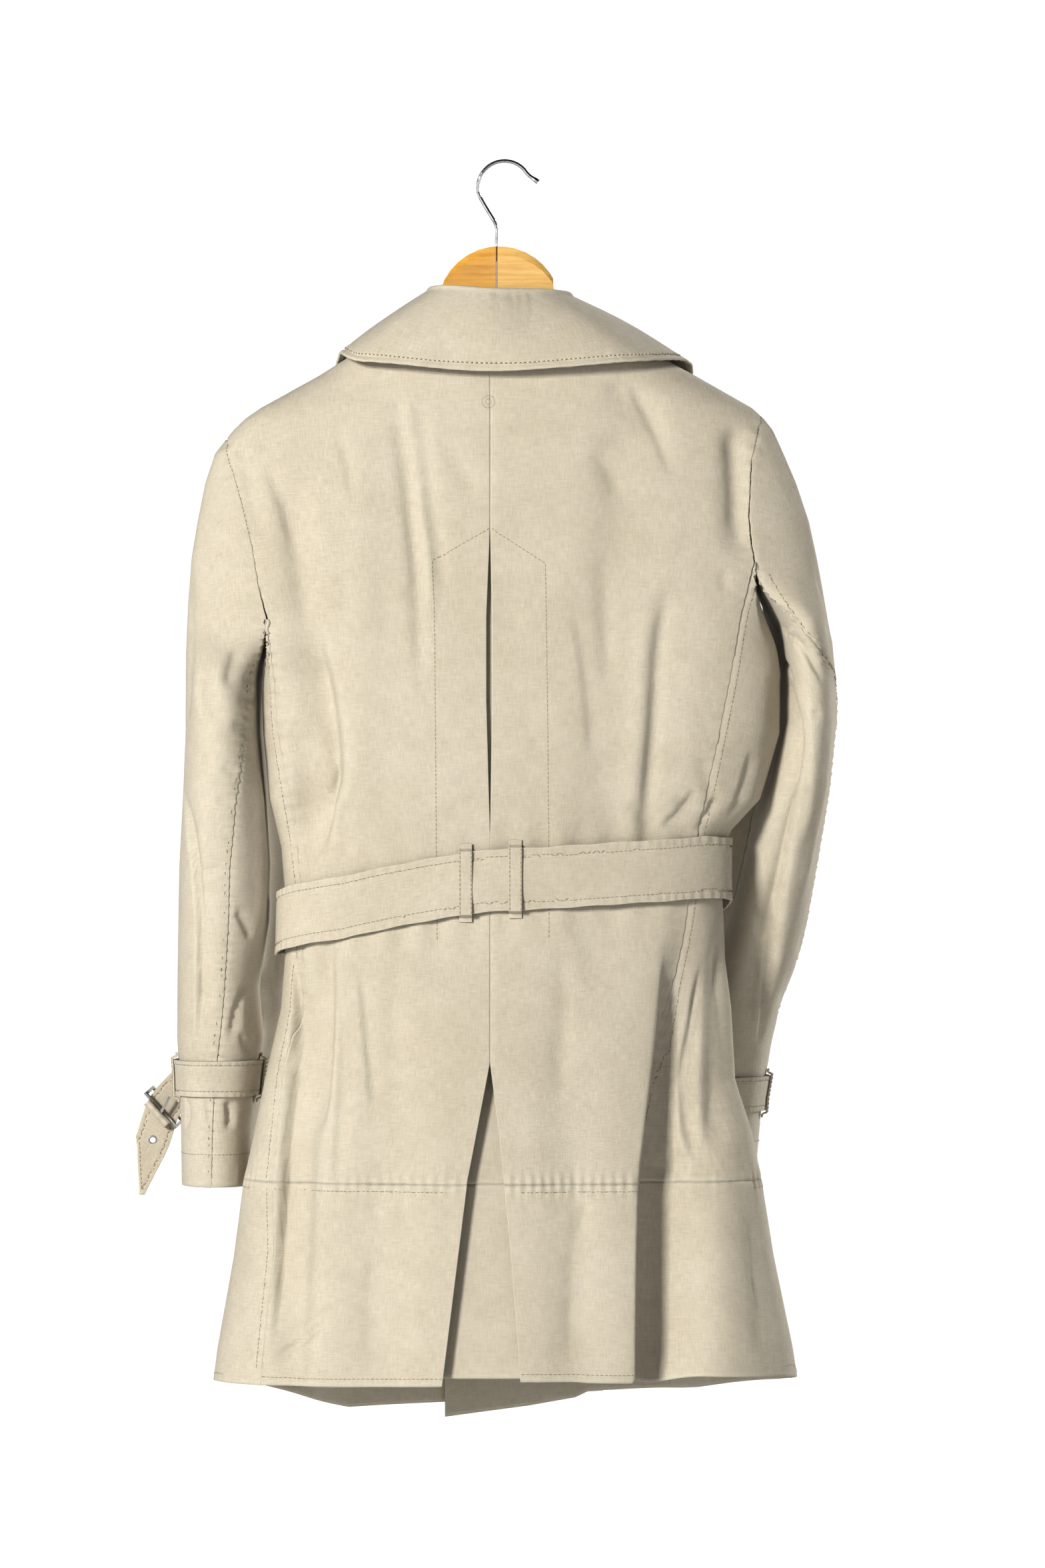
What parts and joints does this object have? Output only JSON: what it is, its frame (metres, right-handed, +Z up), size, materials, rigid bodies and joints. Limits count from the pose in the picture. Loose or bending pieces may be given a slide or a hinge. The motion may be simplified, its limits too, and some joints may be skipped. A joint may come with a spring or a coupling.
{
  "type": "trench coat on a hanger",
  "caption": "Belted beige trench coat with cuff straps, back pleat and kick pleat, hung on a wooden hanger with a wire hook",
  "frame": {"origin": "The inner top of the hook, where a rail carries it", "axes": "+Z up, -Y out of the coat's back, +X to the right as the back is looked at"},
  "size_m": [0.5536, 0.2921, 0.9914],
  "materials": {
    "cloth": "beige cotton gabardine, matt with a faint sheen",
    "wood": "clear-lacquered light wood",
    "chrome": "polished chrome wire",
    "steel": "dull nickel-plated buckles",
    "button": "brown plastic buttons"
  },
  "bodies": {
    "root": {"back_left": "cloth", "back_pleat_underlay": "cloth", "back_right": "cloth", "band_back_left": "cloth", "band_back_right": "cloth", "band_front_left": "cloth", "band_front_right": "cloth", "band_kick_pleat_underlay": "cloth", "belt": "cloth", "belt_buckle": "steel", "belt_loop_left": "cloth", "belt_loop_right": "cloth", "button_1": "button", "button_2": "button", "button_3": "button", "button_4": "button", "button_5": "button", "button_6": "button", "button_7": "button", "button_8": "button", "collar": "cloth", "cuff_left_buckle": "steel", "cuff_left_prong": "steel", "cuff_loop_left_inner": "cloth", "cuff_loop_left_outer": "cloth", "cuff_loop_right_inner": "cloth", "cuff_loop_right_outer": "cloth", "cuff_right_buckle": "steel", "cuff_right_prong": "steel", "cuff_strap_left": "cloth", "cuff_strap_right": "cloth", "cuff_tail_left": "cloth", "front_left": "cloth", "front_right": "cloth", "hanger_left": "wood", "hanger_right": "wood", "hook": "chrome", "kick_pleat_underlay": "cloth", "lapel_left": "cloth", "lapel_right": "cloth", "top_sleeve_left": "cloth", "top_sleeve_right": "cloth", "under_sleeve_left": "cloth", "under_sleeve_right": "cloth"}
  },
  "joints": []
}
